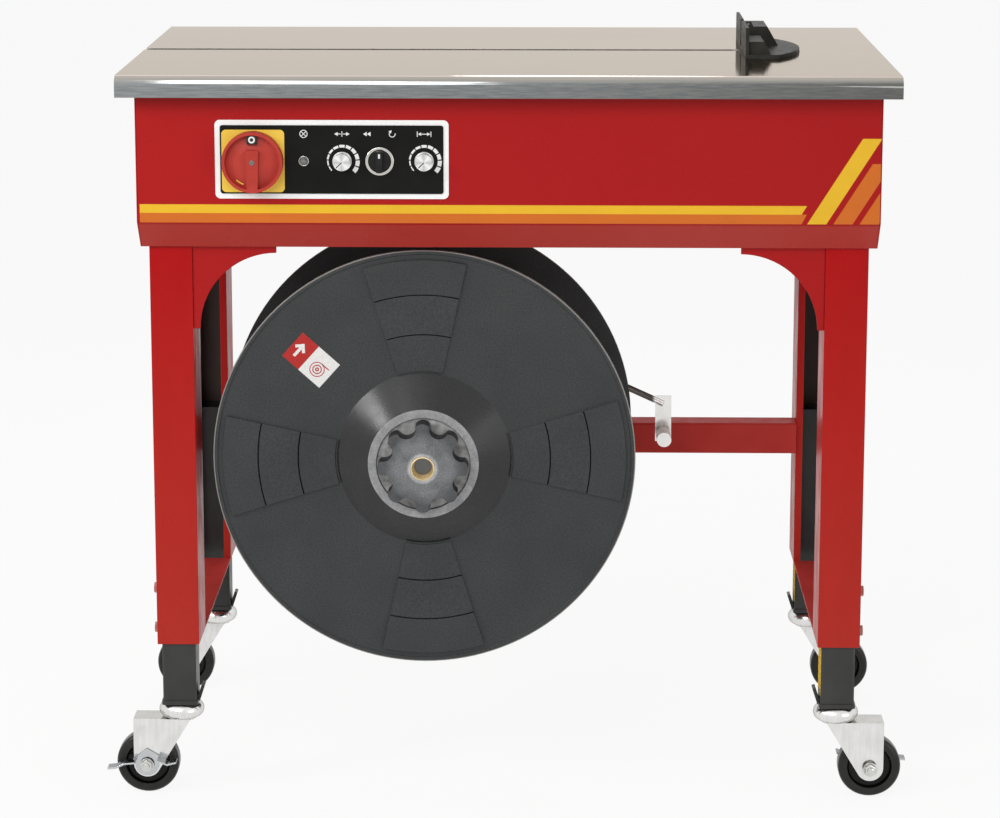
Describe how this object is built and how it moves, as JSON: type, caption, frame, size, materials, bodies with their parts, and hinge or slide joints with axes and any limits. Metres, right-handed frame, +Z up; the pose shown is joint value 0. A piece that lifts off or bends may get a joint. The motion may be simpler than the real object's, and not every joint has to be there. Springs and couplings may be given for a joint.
{
  "type": "semi automatic strapping machine",
  "caption": "Floor-standing strapping machine: steel table with a strap slot and guide, red body with control panel, strap reel under it, telescopic legs on swivel casters.",
  "frame": {"origin": "on the floor under the middle of the table top", "axes": "+X to the operator's right along the strap slot, +Y away from the operator, +Z up"},
  "size_m": [0.9604, 0.565, 0.913],
  "materials": {
    "stainless": "brushed along its width",
    "red_paint": "glossy powder coat",
    "zinc_sheet": "zinc plated, dull",
    "white_plate": "smooth",
    "black_plate": "fine grain",
    "yellow_plastic": "satin",
    "red_plastic": "satin",
    "lamp_lens": "clear dark lens",
    "chrome": "polished",
    "dial_metal": "spun",
    "black_plastic": "fine grain",
    "grey_plastic": "satin",
    "brass": "turned",
    "bright_steel": "turned",
    "zinc_plate": "zinc plated, bright",
    "black_paint": "satin",
    "wheel_rubber": "smooth, hard",
    "roller_plastic": "smooth",
    "cast": "painted grey",
    "belt": "ribbed",
    "board": "lacquered"
  },
  "bodies": {
    "frame": {"table_top": "stainless", "front_cover": "red_paint", "rear_cover": "red_paint", "left_cover": "red_paint", "right_cover": "red_paint", "leg_front_left": "red_paint", "leg_front_right": "red_paint", "leg_rear_left": "red_paint", "leg_rear_right": "red_paint", "leg_tie_left": "red_paint", "leg_tie_right": "red_paint", "rear_beam": "red_paint", "leg_gussets": "red_paint", "reel_stand": "red_paint", "chassis_plate": "zinc_sheet", "strap_trough": "zinc_sheet", "sealing_head": "zinc_sheet", "panel_bezel": "white_plate", "control_plate": "black_plate", "main_switch_plate": "yellow_plastic", "heater_lamp": "lamp_lens", "selector_bezel": "chrome", "strap_guide": "black_plastic", "power_inlet": "black_plastic", "reel_shaft": "bright_steel", "leg_clamp_bolts": "zinc_plate", "cover_screws": "zinc_plate", "drive_motor": "cast", "bearing_blocks": "cast", "transformer": "cast", "drive_belt": "belt", "control_board": "board"},
    "tube_front_left": {"inner_leg_front_left": "black_paint"},
    "caster_front_left": {"caster_fork_front_left": "zinc_plate"},
    "wheel_front_left": {"caster_wheel_front_left": "wheel_rubber"},
    "brake_left": {"brake_lever_left": "zinc_plate"},
    "tube_front_right": {"inner_leg_front_right": "black_paint"},
    "caster_front_right": {"caster_fork_front_right": "zinc_plate"},
    "wheel_front_right": {"caster_wheel_front_right": "wheel_rubber"},
    "brake_right": {"brake_lever_right": "zinc_plate"},
    "tube_rear_left": {"inner_leg_rear_left": "black_paint"},
    "caster_rear_left": {"caster_fork_rear_left": "zinc_plate"},
    "wheel_rear_left": {"caster_wheel_rear_left": "wheel_rubber"},
    "tube_rear_right": {"inner_leg_rear_right": "black_paint"},
    "caster_rear_right": {"caster_fork_rear_right": "zinc_plate"},
    "wheel_rear_right": {"caster_wheel_rear_right": "wheel_rubber"},
    "reel": {"rear_flange": "black_plastic", "reel_core": "black_plastic"},
    "reel_front": {"front_flange": "black_plastic", "hub_ring": "grey_plastic"},
    "hand_knob": {"reel_knob": "black_plastic", "knob_bush": "brass"},
    "dancer_arm": {"brake_arm": "zinc_plate"},
    "dancer_roller": {"arm_roller": "roller_plastic"},
    "main_switch": {"main_switch_knob": "red_plastic"},
    "tension_control": {"tension_dial": "dial_metal"},
    "feed_control": {"feed_dial": "dial_metal"},
    "feed_reset_selector": {"selector_knob": "black_plastic"},
    "motor_rotor": {"motor_pulley": "bright_steel"},
    "cams": {"cam_shaft": "bright_steel"}
  },
  "joints": [
    {"name": "leg_extend_front_left", "type": "slide", "parent": "frame", "child": "tube_front_left", "axis": [0, 0, -1], "range_m": [-0.05, 0.06]},
    {"name": "caster_swivel_front_left", "type": "hinge", "parent": "tube_front_left", "child": "caster_front_left", "pos_m": [-0.393, -0.2072, 0.1], "axis": [0, 0, 1], "continuous": true},
    {"name": "wheel_spin_front_left", "type": "hinge", "parent": "caster_front_left", "child": "wheel_front_left", "pos_m": [-0.434, -0.2072, 0.0375], "axis": [0, 1, 0], "continuous": true},
    {"name": "brake_press_left", "type": "hinge", "parent": "caster_front_left", "child": "brake_left", "pos_m": [-0.434, -0.2072, 0.0375], "axis": [0, 1, 0], "range_deg": [-15, 15]},
    {"name": "leg_extend_front_right", "type": "slide", "parent": "frame", "child": "tube_front_right", "axis": [0, 0, -1], "range_m": [-0.05, 0.06]},
    {"name": "caster_swivel_front_right", "type": "hinge", "parent": "tube_front_right", "child": "caster_front_right", "pos_m": [0.393, -0.2072, 0.1], "axis": [0, 0, 1], "continuous": true},
    {"name": "wheel_spin_front_right", "type": "hinge", "parent": "caster_front_right", "child": "wheel_front_right", "pos_m": [0.434, -0.2072, 0.0375], "axis": [0, 1, 0], "continuous": true},
    {"name": "brake_press_right", "type": "hinge", "parent": "caster_front_right", "child": "brake_right", "pos_m": [0.434, -0.2072, 0.0375], "axis": [0, 1, 0], "range_deg": [-15, 15]},
    {"name": "leg_extend_rear_left", "type": "slide", "parent": "frame", "child": "tube_rear_left", "axis": [0, 0, -1], "range_m": [-0.05, 0.06]},
    {"name": "caster_swivel_rear_left", "type": "hinge", "parent": "tube_rear_left", "child": "caster_rear_left", "pos_m": [-0.393, 0.1922, 0.1], "axis": [0, 0, 1], "continuous": true},
    {"name": "wheel_spin_rear_left", "type": "hinge", "parent": "caster_rear_left", "child": "wheel_rear_left", "pos_m": [-0.434, 0.1922, 0.0375], "axis": [0, 1, 0], "continuous": true},
    {"name": "leg_extend_rear_right", "type": "slide", "parent": "frame", "child": "tube_rear_right", "axis": [0, 0, -1], "range_m": [-0.05, 0.06]},
    {"name": "caster_swivel_rear_right", "type": "hinge", "parent": "tube_rear_right", "child": "caster_rear_right", "pos_m": [0.393, 0.1922, 0.1], "axis": [0, 0, 1], "continuous": true},
    {"name": "wheel_spin_rear_right", "type": "hinge", "parent": "caster_rear_right", "child": "wheel_rear_right", "pos_m": [0.434, 0.1922, 0.0375], "axis": [0, 1, 0], "continuous": true},
    {"name": "reel_spin", "type": "hinge", "parent": "frame", "child": "reel", "pos_m": [-0.099, -0.1, 0.417], "axis": [0, 1, 0], "continuous": true},
    {"name": "flange_pull", "type": "slide", "parent": "reel", "child": "reel_front", "axis": [0, -1, 0], "range_m": [0, 0.3]},
    {"name": "knob_turn", "type": "hinge", "parent": "reel_front", "child": "hand_knob", "pos_m": [-0.099, -0.24, 0.417], "axis": [0, 1, 0], "continuous": true},
    {"name": "arm_lift", "type": "hinge", "parent": "frame", "child": "dancer_arm", "pos_m": [-0.099, 0.02, 0.562], "axis": [0, -1, 0], "range_deg": [0, 20], "stiffness_Nm_per_rad": 2, "springref_deg": -17.19},
    {"name": "roller_spin", "type": "hinge", "parent": "dancer_arm", "child": "dancer_roller", "pos_m": [0.19128, 0, 0.39171], "axis": [0, 1, 0], "continuous": true},
    {"name": "main_switch_turn", "type": "hinge", "parent": "frame", "child": "main_switch", "pos_m": [-0.292, -0.27, 0.7765], "axis": [0, 1, 0], "range_deg": [0, 90]},
    {"name": "tension_turn", "type": "hinge", "parent": "frame", "child": "tension_control", "pos_m": [-0.19, -0.27, 0.7765], "axis": [0, 1, 0], "range_deg": [-135, 135]},
    {"name": "feed_turn", "type": "hinge", "parent": "frame", "child": "feed_control", "pos_m": [-0.096, -0.27, 0.7765], "axis": [0, 1, 0], "range_deg": [-135, 135]},
    {"name": "selector_turn", "type": "hinge", "parent": "frame", "child": "feed_reset_selector", "pos_m": [-0.147, -0.27, 0.7765], "axis": [0, 1, 0], "range_deg": [-45, 45], "stiffness_Nm_per_rad": 0.05},
    {"name": "cam_spin", "type": "hinge", "parent": "frame", "child": "cams", "pos_m": [0.05, -0.025, 0.744], "axis": [1, 0, 0], "continuous": true},
    {"name": "motor_spin", "type": "hinge", "parent": "frame", "child": "motor_rotor", "pos_m": [-0.02, 0.105, 0.744], "axis": [1, 0, 0], "continuous": true}
  ],
  "couplings": [
    {"joint": "motor_spin", "follows": "cam_spin", "ratio": 2}
  ]
}
